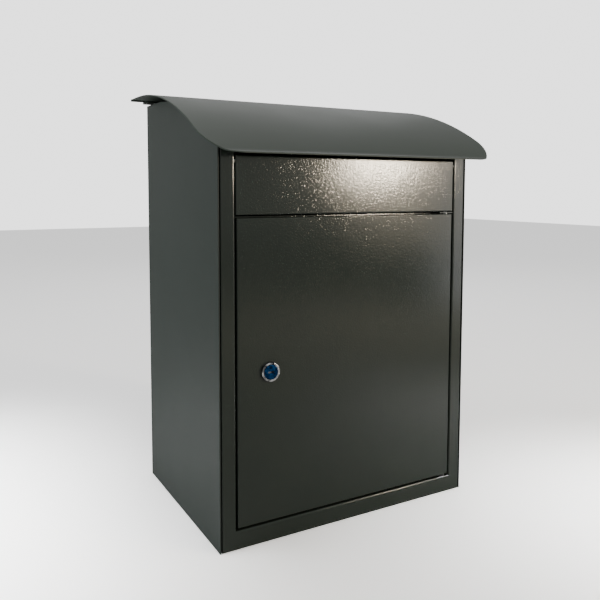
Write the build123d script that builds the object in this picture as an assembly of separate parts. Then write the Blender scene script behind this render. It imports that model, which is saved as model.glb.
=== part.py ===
from build123d import *
import math
import os

# Wall mounted sheet steel mailbox: a welded box with a curved lid hinged at the wall,
# a letter flap that pushes inwards and a lockable door hinged at the right.
# Millimetres. Origin: centre of the four wall holes, on the back face of the rear panel.
# +X to the right as seen from the front, +Y towards the wall, +Z up.

# Driving dimensions of the box
bodyWidth = 340.0
bodyDepth = 242.0
bottomZ = -250.0
sheet = 1.2
sideX = bodyWidth / 2
frontY = -bodyDepth

# Front frame: one sheet with a window, its edges folded back
seamGap = 1.6
frameHalfWidth = sideX - sheet - seamGap
frameTopZ = 194.0
windowHalfWidth = 151.0
windowBottomZ = bottomZ + 21.0
windowTopZ = 181.5
returnDepth = 14.5
returnRearY = frontY + returnDepth
joggleStartY = frontY + 5.0
joggleEndY = frontY + 8.0
joggleTopDrop = 3.0

# Outer radii of the bends and rounded edges
frameOuterBend = 1.0
windowBend = 1.8
panBend = 1.3
lidRimRadius = 1.0
sideEdgeRadius = 0.5

# Side and floor sheets
sideFlangeWidth = 14.0
sideFlangeBottomZ = bottomZ + 15.0
sideFlangeTopZ = 240.0
floorFlangeTopZ = bottomZ + 14.0
floorGap = 0.1
drainRadius = 3.0
drainX = 120.0
drainY = (-190.0, -40.0)

# Lid: flat behind the crest, a long convex bend, a short concave bend and a straight lip
lidCrestZ = 259.0
lidCrestY = -35.7
lidArcRadius = 406.0
lidArcAngle = 35.6
lipArcRadius = 12.0
lipAngle = 13.4
lipLength = 6.0
lidOverhang = 23.4
lidCornerRadius = 47.0
lidRearY = -8.0
lidHemDepth = 3.0
sideTopDrop = 7.0

# Hinge of the lid: a rod in rolled knuckles along the wall edge
rodRadius = 2.0
rodRunning = 0.05
knuckleRadius = rodRadius + rodRunning + sheet
rodY = -knuckleRadius
rodZ = lidCrestZ - knuckleRadius
rodHalfLength = 176.0
knuckleGap = 0.5
panelKnuckles = [(-150.0, -105.0), (-25.0, 25.0), (105.0, 150.0)]

# Wall fixing: four plain holes in a rectangle
wallHoleRadius = 3.5
wallHoleX = 100.0
wallHoleZ = 150.0

# Door: a folded pan in the lower part of the window
doorGap = 2.2
doorHalfWidth = windowHalfWidth - doorGap
doorBottomZ = windowBottomZ + 2.7
doorTopZ = bottomZ + 362.3
doorDepth = 14.0
doorLip = 10.0
doorRearY = frontY + doorDepth
hingeX = doorHalfWidth - 7.0
hingeY = frontY + 5.0
pinRadius = 2.5
pinHeadRadius = 3.7
pinHead = 1.5

# Cross rail behind the gap between door and flap
railFrontY = frontY + 17.0
railBottomZ = 95.0
railTopZ = 113.1
railDepth = 20.0
chuteRun = 38.0
chuteDrop = 22.0

# Hinge bracket on the rail and its rivets
bracketX = (130.0, 150.4)
bracketFrontY = frontY + 1.2
bracketRearY = railFrontY + 17.0
rivetX = (134.0, 146.0)
rivetY = railFrontY + 11.0
rivetRadius = 1.6
rivetHeadRadius = 3.0
rivetTailRadius = 2.6

# Angle strip behind the door's lower edge
stripX = (-140.0, 120.0)
stripLap = 8.0
stripHeight = 19.0

# Letter flap: a folded pan hung on a rod near its top, with a hem that stops on the frame
flapGap = 1.35
flapHalfWidth = windowHalfWidth - flapGap
flapBottomZ = 115.3
flapTopZ = 178.5
flapDepth = 16.0
flapHem = 12.0
flapStopReach = 6.4
flapTopFold = 6.0
flapEarDrop = 13.5
flapRodY = frontY + 3.4
flapRodZ = flapTopZ - 6.5
flapRodHalfLength = 155.5

# Cam lock at the left of the door
lockX = -110.0
lockZ = (doorBottomZ + doorTopZ) / 2
headRadius = 11.0
headHeight = 4.0
barrelRadius = 9.3
barrelFlats = 16.0
barrelRearY = -227.1
plugRadius = 7.2
plugRecess = 0.5
flangeRadius = 8.5
flangeThickness = 1.0
faceRadius = 8.3
faceThickness = 0.6
slotLength = 7.5
slotWidth = 1.8
slotDepth = 3.0
camFrontY = -226.8
camThickness = 2.5
camWidth = 16.0
camReach = 50.0
shankSize = 8.0

# Rubber parts
bufferRadius = 5.0
bufferX = 120.0


def slab(x0, x1, y0, y1, z0, z1):
    """Box between two corners."""
    box = Box(x1 - x0, y1 - y0, z1 - z0)
    return Pos((x0 + x1) / 2, (y0 + y1) / 2, (z0 + z1) / 2) * box


def rod(x0, x1, y, z, radius):
    """Round bar along X."""
    bar = Rot(0, 90, 0) * Cylinder(radius, x1 - x0)
    return Pos((x0 + x1) / 2, y, z) * bar


def post(x, y, z0, z1, radius):
    """Round bar along Z."""
    return Pos(x, y, (z0 + z1) / 2) * Cylinder(radius, z1 - z0)


def disc(x, z, y0, y1, radius):
    """Round bar along Y."""
    bar = Rot(90, 0, 0) * Cylinder(radius, y1 - y0)
    return Pos(x, (y0 + y1) / 2, z) * bar


def profileYZ(points, x0, x1):
    """Polygon of (y, z) points drawn out from x0 to x1."""
    wire = Polyline(*[(x0, y, z) for y, z in points], close=True)
    return extrude(make_face(wire), amount=x1 - x0, dir=(1, 0, 0))


def profileXY(points, z0, z1):
    """Polygon of (x, y) points drawn up from z0 to z1."""
    wire = Polyline(*[(x, y, z0) for x, y in points], close=True)
    return extrude(make_face(wire), amount=z1 - z0, dir=(0, 0, 1))


def lidCurve(drop, x):
    """Edges of the lid's line in the plane at x, lowered by drop square to the sheet."""
    bend = math.radians(lidArcAngle)
    tip = math.radians(lipAngle)
    centreZ = lidCrestZ - lidArcRadius

    def onArc(angle, radius):
        return (x, lidCrestY - radius * math.sin(angle), centreZ + radius * math.cos(angle))

    big = lidArcRadius - drop
    small = lipArcRadius + drop
    start = (x, lidCrestY, lidCrestZ - drop)
    middle = onArc(bend / 2, big)
    end = onArc(bend, big)
    outer = onArc(bend, lidArcRadius + lipArcRadius)

    def onLip(angle):
        return (x, outer[1] + small * math.sin(angle), outer[2] - small * math.cos(angle))

    lipStart = onLip(tip)
    lipEnd = (x, lipStart[1] - lipLength * math.cos(tip), lipStart[2] - lipLength * math.sin(tip))
    rear = (x, lidRearY, lidCrestZ - drop)
    return rear, start, middle, end, onLip((bend + tip) / 2), lipStart, lipEnd


def lidHeight(y, drop):
    """Height of the lid's line, lowered by drop, where it is on the long bend."""
    radius = lidArcRadius - drop
    return lidCrestZ - lidArcRadius + math.sqrt(radius ** 2 - (y - lidCrestY) ** 2)


def lidSolid(topDrop, thickness, x0, x1):
    """Curved sheet between two depths below the lid's top line."""
    top = lidCurve(topDrop, x0)
    low = lidCurve(topDrop + thickness, x0)
    edges = [
        Line(top[0], top[1]),
        ThreePointArc(top[1], top[2], top[3]),
        ThreePointArc(top[3], top[4], top[5]),
        Line(top[5], top[6]),
        Line(top[6], low[6]),
        Line(low[6], low[5]),
        ThreePointArc(low[5], low[4], low[3]),
        ThreePointArc(low[3], low[2], low[1]),
        Line(low[1], low[0]),
        Line(low[0], top[0]),
    ]
    return extrude(make_face(Wire(edges)), amount=x1 - x0, dir=(1, 0, 0))


def ring(x0, x1, y, z):
    """Rolled knuckle round a rod along X."""
    return rod(x0, x1, y, z, knuckleRadius) - rod(x0 - 1, x1 + 1, y, z, rodRadius + rodRunning)


def sidePanel(side):
    """Side wall: top edge follows the lid, rear edge folded in behind the rear panel."""
    x0 = -sideX if side < 0 else sideX - sheet
    topZ = lidCrestZ - sideTopDrop
    frontTop = (x0, frontY, lidHeight(frontY, sideTopDrop))
    midY = (frontY + lidCrestY) / 2
    edges = [
        Line((x0, frontY, bottomZ), (x0, 0, bottomZ)),
        Line((x0, 0, bottomZ), (x0, 0, topZ)),
        Line((x0, 0, topZ), (x0, lidCrestY, topZ)),
        ThreePointArc((x0, lidCrestY, topZ), (x0, midY, lidHeight(midY, sideTopDrop)), frontTop),
        Line(frontTop, (x0, frontY, bottomZ)),
    ]
    wall = extrude(make_face(Wire(edges)), amount=sheet, dir=(1, 0, 0))
    outerFace = wall.faces().sort_by(Axis.X)[0 if side < 0 else -1]
    frontEdge = outerFace.edges().sort_by(Axis.Y)[0]
    wall = fillet(frontEdge, sideEdgeRadius)
    inner = side * (sideX - sheet)
    tip = inner - side * sideFlangeWidth
    flange = slab(min(inner, tip), max(inner, tip), -2 * sheet, -sheet, sideFlangeBottomZ, sideFlangeTopZ)
    return wall + flange


def rearPanel():
    """Rear wall with the four wall holes and the knuckles that hold the lid's rod."""
    half = sideX - sheet
    panel = slab(-half, half, -sheet, 0, bottomZ, lidCrestZ - sideTopDrop)
    for x0, x1 in panelKnuckles:
        panel += slab(x0, x1, -sheet, 0, lidCrestZ - sideTopDrop, rodZ)
        panel += ring(x0, x1, rodY, rodZ)
        panel -= rod(x0 - 1, x1 + 1, rodY, rodZ, rodRadius + rodRunning)
    for x in (-wallHoleX, wallHoleX):
        for z in (-wallHoleZ, wallHoleZ):
            panel -= disc(x, z, -sheet - 1, 1, wallHoleRadius)
    return panel


def bottomPanel():
    """Floor of the box with folded up edges and four drain holes."""
    half = sideX - sheet
    frontEdge = returnRearY + floorGap
    rearEdge = -sheet - floorGap
    floor = slab(-half, half, frontEdge, rearEdge, bottomZ, bottomZ + sheet)
    for side in (-1, 1):
        x0 = -half if side < 0 else half - sheet
        floor += slab(x0, x0 + sheet, frontEdge, -3 * sheet, bottomZ, floorFlangeTopZ)
    floor += slab(-half + sheet, half - sheet, rearEdge - sheet, rearEdge, bottomZ, floorFlangeTopZ)
    for x in (-drainX, drainX):
        for y in drainY:
            floor -= post(x, y, bottomZ - 1, bottomZ + sheet + 1, drainRadius)
    return floor


def frontFrame():
    """Front sheet with the window, its folded returns and the joggled side flanges."""
    frame = slab(-frameHalfWidth, frameHalfWidth, frontY, frontY + returnDepth, bottomZ, frameTopZ)
    frame = fillet(frame.faces().sort_by(Axis.Y)[0].edges(), frameOuterBend)
    hollowX = frameHalfWidth - sheet
    hollow = slab(-hollowX, hollowX, frontY + sheet, 0, bottomZ + sheet, frameTopZ - sheet)
    collar = slab(-windowHalfWidth - sheet, windowHalfWidth + sheet, frontY, 1,
                  windowBottomZ - sheet, windowTopZ + sheet)
    frame -= hollow - collar
    window = slab(-windowHalfWidth, windowHalfWidth, frontY - 1, 1, windowBottomZ, windowTopZ)
    frame -= window
    frontEdges = frame.edges().filter_by(
        lambda e: abs(e.center().Y - frontY) < 0.01
        and abs(e.center().X) < windowHalfWidth + 0.1
        and windowBottomZ - 0.1 < e.center().Z < windowTopZ + 0.1
        and e.length > 200
    )
    frame = fillet(frontEdges, windowBend)
    inner = sideX - sheet
    for side in (-1, 1):
        cut = [
            (side * (frameHalfWidth + 1), joggleStartY),
            (side * (frameHalfWidth - sheet), joggleStartY),
            (side * (frameHalfWidth - sheet), returnRearY + 1),
            (side * (frameHalfWidth + 1), returnRearY + 1),
        ]
        frame -= profileXY(cut, bottomZ - 1, frameTopZ + 1)
        joggle = [
            (side * frameHalfWidth, joggleStartY),
            (side * inner, joggleEndY),
            (side * inner, returnRearY),
            (side * (inner - sheet), returnRearY),
            (side * (inner - sheet), joggleEndY),
            (side * (frameHalfWidth - sheet), joggleStartY),
        ]
        frame += profileXY(joggle, bottomZ, lidHeight(frontY, sideTopDrop) - joggleTopDrop)
    pinHole = post(hingeX, hingeY, windowBottomZ - sheet - 1, windowBottomZ + 1, pinRadius + rodRunning)
    rodHoles = rod(-windowHalfWidth - 3, windowHalfWidth + 3, flapRodY, flapRodZ, rodRadius)
    return frame - pinHole - rodHoles


def midRail():
    """Cross rail that stops the door, with a sloping chute leg and a tab at each end."""
    rearY = railFrontY + railDepth
    half = sideX - sheet - 0.1
    section = [
        (railFrontY, railBottomZ),
        (railFrontY, railTopZ),
        (rearY, railTopZ),
        (rearY + chuteRun, railTopZ - chuteDrop),
        (rearY + chuteRun, railTopZ - chuteDrop - sheet),
        (rearY, railTopZ - sheet),
        (railFrontY + sheet, railTopZ - sheet),
        (railFrontY + sheet, railBottomZ),
    ]
    rail = profileYZ(section, -half, half)
    for side in (-1, 1):
        x0 = -half if side < 0 else half - sheet
        rail += slab(x0, x0 + sheet, railFrontY + sheet, rearY, railBottomZ, railTopZ - sheet)
    for x in rivetX:
        rail -= post(x, rivetY, railTopZ - 2 * sheet, railTopZ + 1, rivetRadius)
    return rail


def upperHingeBracket():
    """Plate on the rail that reaches forward to the door's upper pin."""
    plate = slab(*bracketX, bracketFrontY, bracketRearY, railTopZ, railTopZ + sheet)
    plate -= post(hingeX, hingeY, railTopZ - 1, railTopZ + sheet + 1, pinRadius + rodRunning)
    for x in rivetX:
        plate -= post(x, rivetY, railTopZ - 1, railTopZ + sheet + 1, rivetRadius)
    return plate


def bracketRivets():
    """Two rivets through bracket and rail."""
    rivets = []
    for x in rivetX:
        shank = post(x, rivetY, railTopZ - sheet, railTopZ + sheet, rivetRadius)
        head = post(x, rivetY, railTopZ + sheet, railTopZ + sheet + 1.0, rivetHeadRadius)
        head = fillet(head.faces().sort_by(Axis.Z)[-1].edges(), 0.8)
        tail = post(x, rivetY, railTopZ - sheet - 1.2, railTopZ - sheet, rivetTailRadius)
        rivets.append(shank + head + tail)
    return rivets


def lowerStopStrip():
    """Angle under the window's lower return that stops the door's lower edge."""
    lowZ = windowBottomZ - 2 * sheet
    strip = slab(*stripX, returnRearY - stripLap, railFrontY + sheet, lowZ, lowZ + sheet)
    strip += slab(*stripX, railFrontY, railFrontY + sheet, lowZ, lowZ + stripHeight)
    return strip


def doorPanel():
    """Folded door pan with an inward lip all round and the hole for the lock."""
    pan = slab(-doorHalfWidth, doorHalfWidth, frontY, doorRearY, doorBottomZ, doorTopZ)
    pan = fillet(pan.faces().sort_by(Axis.Y)[0].edges(), panBend)
    pan -= slab(-doorHalfWidth + sheet, doorHalfWidth - sheet, frontY + sheet, doorRearY - sheet,
                doorBottomZ + sheet, doorTopZ - sheet)
    pan -= slab(-doorHalfWidth + doorLip, doorHalfWidth - doorLip, frontY + sheet, doorRearY + 1,
                doorBottomZ + doorLip, doorTopZ - doorLip)
    pan -= barrelBar(frontY - 1, frontY + 2 * sheet)
    pan -= post(hingeX, hingeY, doorBottomZ - 1, doorBottomZ + sheet + 1, pinRadius)
    pan -= post(hingeX, hingeY, doorTopZ - sheet - 1, doorTopZ + 1, pinRadius)
    return pan


def hingePin(upper):
    """Headed pin fixed in the door's edge that turns in the frame or the bracket."""
    if upper:
        inside = doorTopZ - sheet
        shank = post(hingeX, hingeY, inside, railTopZ + sheet + 0.2, pinRadius)
        head = post(hingeX, hingeY, inside - pinHead, inside, pinHeadRadius)
    else:
        inside = doorBottomZ + sheet
        shank = post(hingeX, hingeY, windowBottomZ - 4, inside, pinRadius)
        head = post(hingeX, hingeY, inside, inside + pinHead, pinHeadRadius)
    return shank + head


def hingeWasher():
    """Nylon washer that carries the door on the frame's lower return."""
    outer = post(hingeX, hingeY, windowBottomZ, doorBottomZ - 0.1, 4.6)
    return outer - post(hingeX, hingeY, windowBottomZ - 1, doorBottomZ + 1, pinRadius + rodRunning)


def doorBuffers():
    """Four rubber pads that the door's lips close against."""
    pads = []
    for x in (-bufferX, bufferX - 20):
        for z in (doorTopZ - 5.5, doorBottomZ + 6.5):
            pads.append(disc(x, z, doorRearY, railFrontY, bufferRadius))
    return pads


def lidBuffers():
    """Two rubber feet on the frame's top edge that the lid comes down on."""
    feet = []
    topZ = lidHeight(frontY + 0.6, sheet) - 0.4
    for x in (-bufferX, bufferX):
        foot = post(x, frontY + 6.6, frameTopZ, topZ, bufferRadius)
        feet.append(fillet(foot.faces().sort_by(Axis.Z)[-1].edges(), 1.5))
    return feet


def lidPanel():
    """Curved lid with rounded front corners, rolled knuckles and a small rear hem."""
    half = sideX + lidOverhang
    curved = lidSolid(0, sheet, -half, half)
    lipY = lidCurve(0, 0)[6][1]
    plan = slab(-half, half, lipY - 1, lidRearY, 0, 400)
    corners = plan.edges().filter_by(Axis.Z).group_by(Axis.Y)[0]
    plan = fillet(corners, lidCornerRadius)
    lid = curved & plan
    topFaces = lid.faces().filter_by(lambda f: f.normal_at().Z > 0.3)
    seams = [e for face in topFaces for e in face.edges()]
    rim = [e for e in seams if sum((other.center() - e.center()).length < 0.001 for other in seams) == 1]
    lid = fillet([e for e in rim if e.center().Y < lidRearY - 1], lidRimRadius)
    for side in (-1, 1):
        x0 = -half if side < 0 else panelKnuckles[-1][1] + 2
        x1 = -panelKnuckles[-1][1] - 2 if side < 0 else half
        lid += slab(x0, x1, lidRearY, lidRearY + sheet, lidCrestZ - lidHemDepth, lidCrestZ)
    for (_, x0), (x1, _) in zip(panelKnuckles, panelKnuckles[1:]):
        lid += slab(x0 + knuckleGap, x1 - knuckleGap, lidRearY, rodY, lidCrestZ - sheet, lidCrestZ)
        lid += ring(x0 + knuckleGap, x1 - knuckleGap, rodY, rodZ)
        lid -= rod(x0, x1, rodY, rodZ, rodRadius + rodRunning)
    return lid


def letterFlap():
    """Flap pan: short fold at the top, ears for the rod, deep fold and stop hem at the bottom."""
    rearY = frontY + flapDepth
    flap = slab(-flapHalfWidth, flapHalfWidth, frontY, rearY, flapBottomZ, flapTopZ)
    flap = fillet(flap.faces().sort_by(Axis.Y)[0].edges(), panBend)
    flap -= slab(-flapHalfWidth + sheet, flapHalfWidth - sheet, frontY + sheet, rearY + 1,
                 flapBottomZ + sheet, flapTopZ - sheet)
    corner = [
        (frontY + flapTopFold, flapTopZ + 1),
        (frontY + flapTopFold, flapTopZ),
        (rearY, flapTopZ - flapEarDrop),
        (rearY + 1, flapTopZ - flapEarDrop),
        (rearY + 1, flapTopZ + 1),
    ]
    flap -= profileYZ(corner, -flapHalfWidth - 1, flapHalfWidth + 1)
    stopHalf = flapHalfWidth + flapStopReach
    flap += slab(-stopHalf, stopHalf, rearY - sheet, rearY, flapBottomZ, flapBottomZ + flapHem)
    return flap - rod(-flapHalfWidth - 1, flapHalfWidth + 1, flapRodY, flapRodZ, rodRadius + rodRunning)


def barrelBar(y0, y1):
    """Lock barrel section: a round with two flats."""
    bar = disc(lockX, lockZ, y0, y1, barrelRadius)
    half = barrelFlats / 2
    return bar & slab(lockX - half, lockX + half, y0, y1, lockZ - 20, lockZ + 20)


def lockHousing():
    """Lock body: round head, flatted barrel, bore and counterbore for the plug."""
    headY = frontY - headHeight
    head = disc(lockX, lockZ, headY, frontY, headRadius)
    head = fillet(head.faces().sort_by(Axis.Y)[0].edges(), 1.2)
    body = head + barrelBar(frontY, barrelRearY)
    body -= disc(lockX, lockZ, headY - 1, barrelRearY + 1, plugRadius + rodRunning)
    seatY = headY + plugRecess + faceThickness + flangeThickness + rodRunning
    body -= disc(lockX, lockZ, headY - 1, seatY, flangeRadius + rodRunning)
    rim = body.faces().sort_by(Axis.Y)[0].edges().sort_by(SortBy.LENGTH)[0]
    return chamfer(rim, 0.6)


def lockPlug():
    """Plug that the key turns: flange, square shank for the cam and a blind key slot."""
    faceY = frontY - headHeight + plugRecess + faceThickness
    plug = disc(lockX, lockZ, faceY, barrelRearY, plugRadius)
    plug += disc(lockX, lockZ, faceY, faceY + flangeThickness, flangeRadius)
    half = shankSize / 2
    plug += slab(lockX - half, lockX + half, barrelRearY - 0.5, camFrontY + camThickness,
                 lockZ - half, lockZ + half)
    plug -= disc(lockX, lockZ, camFrontY - 4, 0, 2.0)
    return plug - keySlot(faceY - 1, faceY + slotDepth)


def keySlot(y0, y1):
    """Space of the key slot."""
    return slab(lockX - slotLength / 2, lockX + slotLength / 2, y0, y1,
                lockZ - slotWidth / 2, lockZ + slotWidth / 2)


def lockFace():
    """Thin coloured disc on the plug with the key slot through it."""
    y0 = frontY - headHeight + plugRecess
    face = disc(lockX, lockZ, y0, y0 + faceThickness, faceRadius)
    face = fillet(face.faces().sort_by(Axis.Y)[0].edges(), 0.25)
    return face - keySlot(y0 - 1, y0 + faceThickness + 1)


def lockNut():
    """Hexagon nut that clamps the lock in the door."""
    y0 = frontY + sheet
    hexagon = extrude(RegularPolygon(12.0, 6, major_radius=False), amount=5)
    nut = Pos(lockX, y0 + 5, lockZ) * Rot(90, 0, 0) * hexagon
    return nut - disc(lockX, lockZ, y0 - 1, y0 + 6, barrelRadius)


def lockCam():
    """Flat cam, hanging down when the lock is open, with a rounded end."""
    y1 = camFrontY + camThickness
    half = camWidth / 2
    cam = disc(lockX, lockZ, camFrontY, y1, half + 1)
    cam += slab(lockX - half, lockX + half, camFrontY, y1, lockZ - camReach + half, lockZ)
    cam += disc(lockX, lockZ - camReach + half, camFrontY, y1, half)
    square = shankSize / 2
    return cam - slab(lockX - square, lockX + square, camFrontY - 1, y1 + 1,
                      lockZ - square, lockZ + square)


def camWasher():
    """Washer between cam and screw head."""
    y0 = camFrontY + camThickness
    return disc(lockX, lockZ, y0, y0 + 0.8, 6.0) - disc(lockX, lockZ, y0 - 1, y0 + 2, 2.2)


def camScrew():
    """Pan head screw that holds the cam on the plug."""
    y0 = camFrontY + camThickness + 0.8
    head = disc(lockX, lockZ, y0, y0 + 2.4, 3.8)
    head = fillet(head.faces().sort_by(Axis.Y)[-1].edges(), 1.0)
    shank = disc(lockX, lockZ, camFrontY - 4, y0, 2.0)
    cross = slab(lockX - 2, lockX + 2, y0 + 1.2, y0 + 3, lockZ - 0.4, lockZ + 0.4)
    cross += slab(lockX - 0.4, lockX + 0.4, y0 + 1.2, y0 + 3, lockZ - 2, lockZ + 2)
    return head + shank - cross


parts = {
    "left_side_panel": sidePanel(-1),
    "right_side_panel": sidePanel(1),
    "rear_panel": rearPanel(),
    "bottom_panel": bottomPanel(),
    "front_frame": frontFrame(),
    "mid_rail": midRail(),
    "lower_stop_strip": lowerStopStrip(),
    "upper_hinge_bracket": upperHingeBracket(),
    "bracket_rivets": bracketRivets(),
    "hinge_washer": hingeWasher(),
    "door_buffers": doorBuffers(),
    "lid_buffers": lidBuffers(),
    "lid_hinge_rod": rod(-rodHalfLength, rodHalfLength, rodY, rodZ, rodRadius),
    "flap_hinge_rod": rod(-flapRodHalfLength, flapRodHalfLength, flapRodY, flapRodZ, rodRadius),
    "roof_lid": lidPanel(),
    "letter_flap": letterFlap(),
    "door_panel": doorPanel(),
    "upper_hinge_pin": hingePin(True),
    "lower_hinge_pin": hingePin(False),
    "lock_housing": lockHousing(),
    "lock_nut": lockNut(),
    "lock_plug": lockPlug(),
    "lock_face": lockFace(),
    "lock_cam": lockCam(),
    "cam_washer": camWasher(),
    "cam_screw": camScrew(),
}

os.makedirs("parts", exist_ok=True)
for name, shape in parts.items():
    pieces = shape if isinstance(shape, list) else [shape]
    solids = [solid for piece in pieces for solid in piece.solids()]
    whole = solids[0] if len(solids) == 1 else Compound(children=solids)
    export_step(whole, os.path.join("parts", name + ".step"))
    print(name, len(solids), round(sum(solid.volume for solid in solids), 1))
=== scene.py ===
import math

import bmesh
import bpy
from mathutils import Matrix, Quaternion, Vector


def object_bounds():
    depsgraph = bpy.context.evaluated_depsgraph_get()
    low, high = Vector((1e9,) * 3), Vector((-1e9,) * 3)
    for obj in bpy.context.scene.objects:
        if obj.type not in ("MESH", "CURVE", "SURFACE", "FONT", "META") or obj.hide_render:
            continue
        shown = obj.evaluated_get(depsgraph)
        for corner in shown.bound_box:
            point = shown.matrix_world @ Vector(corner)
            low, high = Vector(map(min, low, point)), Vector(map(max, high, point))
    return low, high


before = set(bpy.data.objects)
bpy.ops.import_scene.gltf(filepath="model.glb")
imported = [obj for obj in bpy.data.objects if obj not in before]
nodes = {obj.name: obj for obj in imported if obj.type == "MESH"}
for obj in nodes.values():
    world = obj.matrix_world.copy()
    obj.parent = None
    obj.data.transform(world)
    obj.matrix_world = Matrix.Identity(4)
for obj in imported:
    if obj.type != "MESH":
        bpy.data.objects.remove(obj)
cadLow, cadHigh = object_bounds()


def linear(hexColour):
    # sRGB hex to the linear values that the shaders want
    values = [int(hexColour[i:i + 2], 16) / 255 for i in (1, 3, 5)]
    return [v / 12.92 if v <= 0.04045 else ((v + 0.055) / 1.055) ** 2.4 for v in values] + [1.0]


def perMetre(millimetres):
    # texture scale for features of this size, with coordinates in metres
    return 1000.0 / millimetres


def metres(millimetres):
    return millimetres / 1000


def addNode(tree, kind, settings=None, links=None):
    # one node, its attributes or sockets by name, and what feeds its inputs
    node = tree.nodes.new(kind)
    for key, value in (settings or {}).items():
        if isinstance(key, str) and hasattr(node, key):
            setattr(node, key, value)
        else:
            node.inputs[key].default_value = value
    for key, source in (links or {}).items():
        tree.links.new(source, node.inputs[key])
    return node


def newMaterial(name):
    material = bpy.data.materials.new(name)
    material.use_nodes = True
    material.node_tree.nodes.clear()
    return material, material.node_tree


# Polyester powder coat with a hammertone texture, sprayed and baked on steel sheet. The eye sees
# a dark green grey skin, smooth where it reflects nothing bright, whose small bumps break a lamp's
# reflection into grains of light. The real grains are near 1 mm and are drawn at twice that, to
# show.
frontPaint = {
    "name": "hammertonePowderCoat",
    "colour": "#262d28", "paler": "#2b322b", "patch": 60.0,
    "roughLow": 0.105, "roughHigh": 0.135, "specular": 0.5,
    "grain": 2.1, "grainDepth": 0.105,                # mm, soft bumps
    "pit": 1.8, "pitRim": 0.45, "pitShare": 0.36,     # mm, share of a cell, share of the depth
    "wave": 24.0, "waveDepth": 0.04,                  # mm, slow waves of the sheet
}

# The same paint on the flat sides with a lighter colour, which is painted light; a soft, even
# sheen.
sidePaint = {
    "name": "sidePowderCoatPaintedLight",
    "colour": "#2c3430", "paler": "#303833", "patch": 90.0,
    "roughLow": 0.44, "roughHigh": 0.52, "specular": 0.4,
    "grain": 2.0, "grainDepth": 0.03,
    "pit": 1.8, "pitRim": 0.5, "pitShare": 0.5,
    "wave": 40.0, "waveDepth": 0.05,
}

# The same paint on the lid with a lighter, greener colour, which is painted light; a satin sheen.
lidPaint = {
    "name": "lidPowderCoatPaintedLight",
    "colour": "#363f38", "paler": "#3b453d", "patch": 70.0,
    "roughLow": 0.42, "roughHigh": 0.50, "specular": 0.45,
    "grain": 2.0, "grainDepth": 0.02,
    "pit": 1.8, "pitRim": 0.5, "pitShare": 0.5,
    "wave": 60.0, "waveDepth": 0.05,
}


def powderCoat(look):
    material, tree = newMaterial(look["name"])
    place = addNode(tree, "ShaderNodeTexCoord").outputs["Object"]
    grain = addNode(tree, "ShaderNodeTexNoise",
                    {"Scale": perMetre(look["grain"]), "Detail": 2.0, "Roughness": 0.6},
                    {"Vector": place})
    pits = addNode(tree, "ShaderNodeTexVoronoi",
                   {"feature": "SMOOTH_F1", "Scale": perMetre(look["pit"]), "Smoothness": 0.7},
                   {"Vector": place})
    dimples = addNode(tree, "ShaderNodeMapRange",
                      {"interpolation_type": "SMOOTHSTEP", "From Max": look["pitRim"]},
                      {"Value": pits.outputs["Distance"]})
    relief = addNode(tree, "ShaderNodeMath", {"operation": "MULTIPLY_ADD", 1: look["pitShare"]},
                     {0: dimples.outputs[0], 2: grain.outputs["Fac"]})
    wave = addNode(tree, "ShaderNodeTexNoise", {"Scale": perMetre(look["wave"]), "Detail": 1.0},
                   {"Vector": place})
    patch = addNode(tree, "ShaderNodeTexNoise", {"Scale": perMetre(look["patch"]), "Detail": 4.0},
                    {"Vector": place})
    tint = addNode(tree, "ShaderNodeMix",
                   {"data_type": "RGBA", 6: linear(look["colour"]), 7: linear(look["paler"])},
                   {0: patch.outputs["Fac"]})
    gloss = addNode(tree, "ShaderNodeMapRange",
                    {"To Min": look["roughLow"], "To Max": look["roughHigh"]},
                    {"Value": patch.outputs["Fac"]})
    slow = addNode(tree, "ShaderNodeBump",
                   {"Distance": metres(look["waveDepth"]), "Strength": 1.0},
                   {"Height": wave.outputs["Fac"]})
    fine = addNode(tree, "ShaderNodeBump",
                   {"Distance": metres(look["grainDepth"]), "Strength": 1.0},
                   {"Height": relief.outputs[0], "Normal": slow.outputs["Normal"]})
    skin = addNode(tree, "ShaderNodeBsdfPrincipled",
                   {"Specular IOR Level": look["specular"], "IOR": 1.5},
                   {"Base Color": tint.outputs[2], "Roughness": gloss.outputs[0],
                    "Normal": fine.outputs["Normal"]})
    addNode(tree, "ShaderNodeOutputMaterial", {}, {"Surface": skin.outputs[0]})
    return material


# Zinc plated steel, cold drawn or stamped and then barrel plated. The eye sees a blue grey metal
# with cloudy patches and fine scratches from the barrel.
zincPlate = {
    "name": "zincPlatedSteel",
    "colour": "#9a9ea2", "paler": "#c4c6c3", "cloud": 4.0,
    "roughLow": 0.26, "roughHigh": 0.46,
    "scratch": 0.7, "stretch": 9.0, "scratchDepth": 0.012,
}

# Chrome plated zinc die casting, polished before it was plated. Its colour is painted in dark and
# bright patches, a painted reflection of the parts a mirror breaks into, with a few hazy spots.
chromePlate = {
    "name": "chromePlatedZincPaintedReflection",
    "colour": "#3a3c40", "paler": "#e4e5e6", "cloud": 5.0,
    "roughLow": 0.07, "roughHigh": 0.16,
    "scratch": 1.8, "stretch": 3.0, "scratchDepth": 0.05,
}

# Clear blue film over the polished end of the lock plug, as it comes from the factory. The eye sees
# a deep blue mirror with small creases.
blueFilm = {
    "name": "blueFilmOnChrome",
    "colour": "#051b38", "paler": "#154a80", "cloud": 2.2,
    "roughLow": 0.14, "roughHigh": 0.30,
    "scratch": 1.6, "stretch": 1.6, "scratchDepth": 0.16,
}


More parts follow.
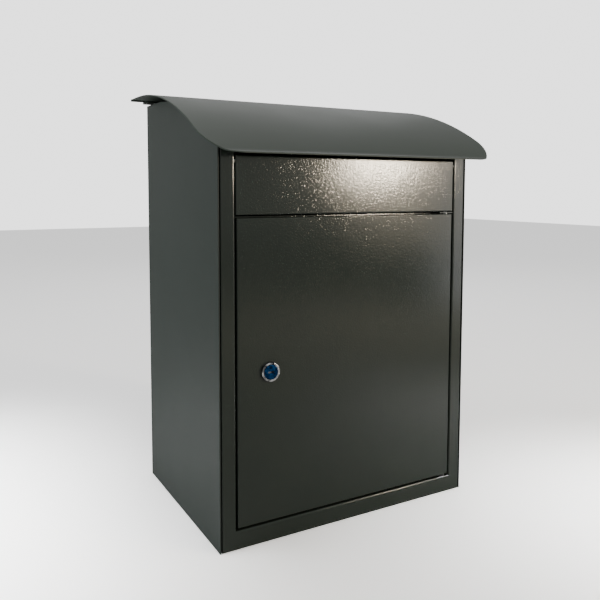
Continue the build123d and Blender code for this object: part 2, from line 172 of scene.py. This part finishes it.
def platedMetal(look):
    material, tree = newMaterial(look["name"])
    place = addNode(tree, "ShaderNodeTexCoord").outputs["Object"]
    cloud = addNode(tree, "ShaderNodeTexNoise", {"Scale": perMetre(look["cloud"]), "Detail": 3.0},
                    {"Vector": place})
    # most of the noise lies in this range, so the patches reach both colours
    patchesAndPaintedReflection = addNode(tree, "ShaderNodeMapRange", {"From Min": 0.35, "From Max": 0.65},
                      {"Value": cloud.outputs["Fac"]})
    # on chrome the two colours are painted reflection, the dark and bright parts of a mirror
    tint = addNode(tree, "ShaderNodeMix",
                   {"data_type": "RGBA", 6: linear(look["colour"]), 7: linear(look["paler"])},
                   {0: patchesAndPaintedReflection.outputs[0]})
    gloss = addNode(tree, "ShaderNodeMapRange",
                    {"To Min": look["roughLow"], "To Max": look["roughHigh"]},
                    {"Value": patchesAndPaintedReflection.outputs[0]})
    along = addNode(tree, "ShaderNodeMapping", {"Scale": (1.0, 1.0, 1.0 / look["stretch"])},
                    {"Vector": place})
    scratch = addNode(tree, "ShaderNodeTexNoise",
                      {"Scale": perMetre(look["scratch"]), "Detail": 3.0},
                      {"Vector": along.outputs[0]})
    bump = addNode(tree, "ShaderNodeBump",
                   {"Distance": metres(look["scratchDepth"]), "Strength": 1.0},
                   {"Height": scratch.outputs["Fac"]})
    skin = addNode(tree, "ShaderNodeBsdfPrincipled", {"Metallic": 1.0},
                   {"Base Color": tint.outputs[2], "Roughness": gloss.outputs[0],
                    "Normal": bump.outputs["Normal"]})
    addNode(tree, "ShaderNodeOutputMaterial", {}, {"Surface": skin.outputs[0]})
    return material


# EPDM rubber, moulded. The eye sees a matte black with a dusty bloom.
blackRubber = {
    "name": "mouldedRubber",
    "colour": "#131313", "paler": "#242422", "bloom": 3.0,
    "roughLow": 0.62, "roughHigh": 0.85, "ior": 1.52,
    "tooth": 0.6, "toothDepth": 0.03,
}

# Nylon 6, moulded against a spark eroded tool. The eye sees a soft black sheen with a fine tooth.
blackNylon = {
    "name": "mouldedNylon",
    "colour": "#171716", "paler": "#20201f", "bloom": 5.0,
    "roughLow": 0.38, "roughHigh": 0.52, "ior": 1.53,
    "tooth": 0.5, "toothDepth": 0.015,
}


def mouldedPolymer(look):
    material, tree = newMaterial(look["name"])
    place = addNode(tree, "ShaderNodeTexCoord").outputs["Object"]
    bloom = addNode(tree, "ShaderNodeTexNoise", {"Scale": perMetre(look["bloom"]), "Detail": 4.0},
                    {"Vector": place})
    tint = addNode(tree, "ShaderNodeMix",
                   {"data_type": "RGBA", 6: linear(look["colour"]), 7: linear(look["paler"])},
                   {0: bloom.outputs["Fac"]})
    gloss = addNode(tree, "ShaderNodeMapRange",
                    {"From Min": 0.3, "From Max": 0.7,
                     "To Min": look["roughLow"], "To Max": look["roughHigh"]},
                    {"Value": bloom.outputs["Fac"]})
    tooth = addNode(tree, "ShaderNodeTexNoise", {"Scale": perMetre(look["tooth"]), "Detail": 2.0},
                    {"Vector": place})
    bump = addNode(tree, "ShaderNodeBump",
                   {"Distance": metres(look["toothDepth"]), "Strength": 1.0},
                   {"Height": tooth.outputs["Fac"]})
    skin = addNode(tree, "ShaderNodeBsdfPrincipled", {"IOR": look["ior"]},
                   {"Base Color": tint.outputs[2], "Roughness": gloss.outputs[0],
                    "Normal": bump.outputs["Normal"]})
    addNode(tree, "ShaderNodeOutputMaterial", {}, {"Surface": skin.outputs[0]})
    return material


finishes = {
    "front": powderCoat(frontPaint), "side": powderCoat(sidePaint), "lid": powderCoat(lidPaint),
    "zinc": platedMetal(zincPlate), "chrome": platedMetal(chromePlate),
    "film": platedMetal(blueFilm), "rubber": mouldedPolymer(blackRubber),
    "nylon": mouldedPolymer(blackNylon),
}

nodeFinish = {
    "left_side_panel": "side", "right_side_panel": "side", "rear_panel": "side",
    "bottom_panel": "side", "front_frame": "front", "mid_rail": "front",
    "lower_stop_strip": "front", "upper_hinge_bracket": "front", "bracket_rivets": "zinc",
    "hinge_washer": "nylon", "door_buffers": "rubber", "lid_buffers": "rubber",
    "lid_hinge_rod": "zinc", "flap_hinge_rod": "zinc", "roof_lid": "lid",
    "letter_flap": "front", "door_panel": "front", "upper_hinge_pin": "zinc",
    "lower_hinge_pin": "zinc", "lock_housing": "chrome", "lock_nut": "zinc",
    "lock_plug": "chrome", "lock_face": "film", "lock_cam": "zinc",
    "cam_washer": "zinc", "cam_screw": "zinc",
}
for name, finish in nodeFinish.items():
    nodes[name].data.materials.clear()
    nodes[name].data.materials.append(finishes[finish])
print("finishes on", len(nodeFinish), "nodes")


# The camera stands left of the box, near the height of the letter flap
cameraPlace = {
    "at": (-0.44053, -0.89362, 0.14291),              # metres
    "yaw": 29.468, "pitch": 4.309, "roll": 0.126,     # degrees
    "lens": 40.59, "sensor": 36.0, "shiftY": -0.1,    # mm, mm, share of the frame
}


def placeCamera():
    data = bpy.data.cameras.new("camera")
    data.lens = cameraPlace["lens"]
    data.sensor_width = cameraPlace["sensor"]
    data.shift_y = cameraPlace["shiftY"]
    camera = bpy.data.objects.new("camera", data)
    bpy.context.scene.collection.objects.link(camera)
    camera.location = cameraPlace["at"]
    yaw, pitch, roll = (math.radians(cameraPlace[k]) for k in ("yaw", "pitch", "roll"))
    ahead = Vector((math.sin(yaw) * math.cos(pitch), math.cos(yaw) * math.cos(pitch),
                    -math.sin(pitch)))
    camera.rotation_mode = "QUATERNION"
    camera.rotation_quaternion = ahead.to_track_quat("-Z", "Y") @ Quaternion((0, 0, 1), roll)
    bpy.context.scene.camera = camera


placeCamera()
print("camera at", cameraPlace["at"])

# One small warm lamp makes the reflection on the flap. Soft panels light the lid and the sides,
# and narrow beams lay pools of light on the floor that the sheet picks up.
# Places and sizes are in metres, powers in watts, spreads in degrees.
flapCentre = (0.03, -0.242, 0.16)
lamps = {
    "flapLamp": {"at": (0.973, -1.531, 0.249), "aim": flapCentre, "size": (0.16, 0.08),
                 "power": 10.9, "colour": "#ffefd4"},
    "flapGlow": {"at": (1.036, -1.484, 0.104), "aim": flapCentre, "size": (0.3, 0.3),
                 "power": 0.6, "colour": "#ffefd4"},
    "rightStrip": {"at": (1.253, -1.268, 0.048), "aim": flapCentre, "size": (0.3, 0.6),
                   "power": 1.4},
    "top": {"at": (0.0, 0.0, 2.2), "aim": (0.0, 0.0, 0.0), "size": (1.6, 1.6), "power": 5.3},
    "highRight": {"at": (1.25, 0.95, 1.55), "aim": (0.0, -0.2, 0.1), "size": (0.9, 0.9),
                  "power": 0.5},
    "rearRight": {"at": (1.02, 1.57, 1.43), "aim": (0.0, -0.2, 0.0), "size": (1.2, 1.0),
                  "power": 3.2},
    "rightPool": {"at": (0.42, -0.62, 1.3), "aim": (0.42, -0.62, -0.25), "size": (0.25, 0.25),
                  "power": 0.22, "spread": 18.0},
    "rightBeam": {"at": (1.3, -0.9, 0.9), "aim": (0.36, -0.42, -0.25), "size": (0.2, 0.2),
                  "power": 0.7, "spread": 22.0},
    "leftPool": {"at": (-0.5, -0.15, 1.3), "aim": (-0.45, -0.15, -0.25), "size": (0.3, 0.3),
                 "power": 0.8, "spread": 24.0},
    "leftPoolRear": {"at": (-0.5, 0.15, 1.3), "aim": (-0.5, 0.15, -0.25), "size": (0.3, 0.3),
                     "power": 0.9, "spread": 24.0},
    "leftSoft": {"at": (-1.6, 0.1, -0.05), "aim": (-0.17, -0.1, -0.1), "size": (0.8, 0.5),
                 "power": 11.3, "mirrored": False},
}


def placeLamp(name, lamp):
    data = bpy.data.lights.new(name, "AREA")
    data.shape = "RECTANGLE"
    data.size, data.size_y = lamp["size"]
    data.energy = lamp["power"]
    data.spread = math.radians(lamp.get("spread", 180.0))
    data.color = linear(lamp.get("colour", "#ffffff"))[:3]
    obj = bpy.data.objects.new(name, data)
    bpy.context.scene.collection.objects.link(obj)
    obj.visible_camera = False
    obj.visible_glossy = lamp.get("mirrored", True)
    obj.location = lamp["at"]
    aim = Vector(lamp["aim"]) - Vector(lamp["at"])
    obj.rotation_euler = aim.to_track_quat("-Z", "Y").to_euler()


for name, lamp in lamps.items():
    placeLamp(name, lamp)
print("lamps", len(lamps))

# The room: a dim even light on the box, and a clean pale backdrop where the camera looks past it
room = {
    "colour": "#ffffff",
    "light": 0.49, "seen": 2.4,               # strength on the box, and to the camera
    "floorWhite": 0.5, "floorSeen": 2.2,      # reflectance towards the box, and to the camera
    "floorHalf": 6.0,                         # metres from the middle to an edge
}


def lightRoom():
    world = bpy.data.worlds.new("studio")
    bpy.context.scene.world = world
    world.use_nodes = True
    sky = world.node_tree
    sky.nodes.clear()
    white = linear(room["colour"])
    dim = addNode(sky, "ShaderNodeBackground", {"Color": white, "Strength": room["light"]})
    seen = addNode(sky, "ShaderNodeBackground", {"Color": white, "Strength": room["seen"]})
    path = addNode(sky, "ShaderNodeLightPath")
    both = addNode(sky, "ShaderNodeMixShader", {},
                   {0: path.outputs["Is Camera Ray"], 1: dim.outputs[0], 2: seen.outputs[0]})
    addNode(sky, "ShaderNodeOutputWorld", {}, {"Surface": both.outputs[0]})


def paleFloor():
    # matte board, grey for the light that reaches the box and pale for the camera
    material, tree = newMaterial("matteWhiteBoard")
    path = addNode(tree, "ShaderNodeLightPath")
    gain = addNode(tree, "ShaderNodeMapRange",
                   {"To Min": room["floorWhite"], "To Max": room["floorSeen"]},
                   {"Value": path.outputs["Is Camera Ray"]})
    skin = addNode(tree, "ShaderNodeBsdfDiffuse", {}, {"Color": gain.outputs[0]})
    addNode(tree, "ShaderNodeOutputMaterial", {}, {"Surface": skin.outputs[0]})
    mesh = bpy.data.meshes.new("floor")
    shape = bmesh.new()
    bmesh.ops.create_grid(shape, x_segments=1, y_segments=1, size=room["floorHalf"])
    shape.to_mesh(mesh)
    shape.free()
    mesh.materials.append(material)
    floor = bpy.data.objects.new("floor", mesh)
    bpy.context.scene.collection.objects.link(floor)
    floor.location.z = cadLow.z


lightRoom()
paleFloor()
print("room and floor")
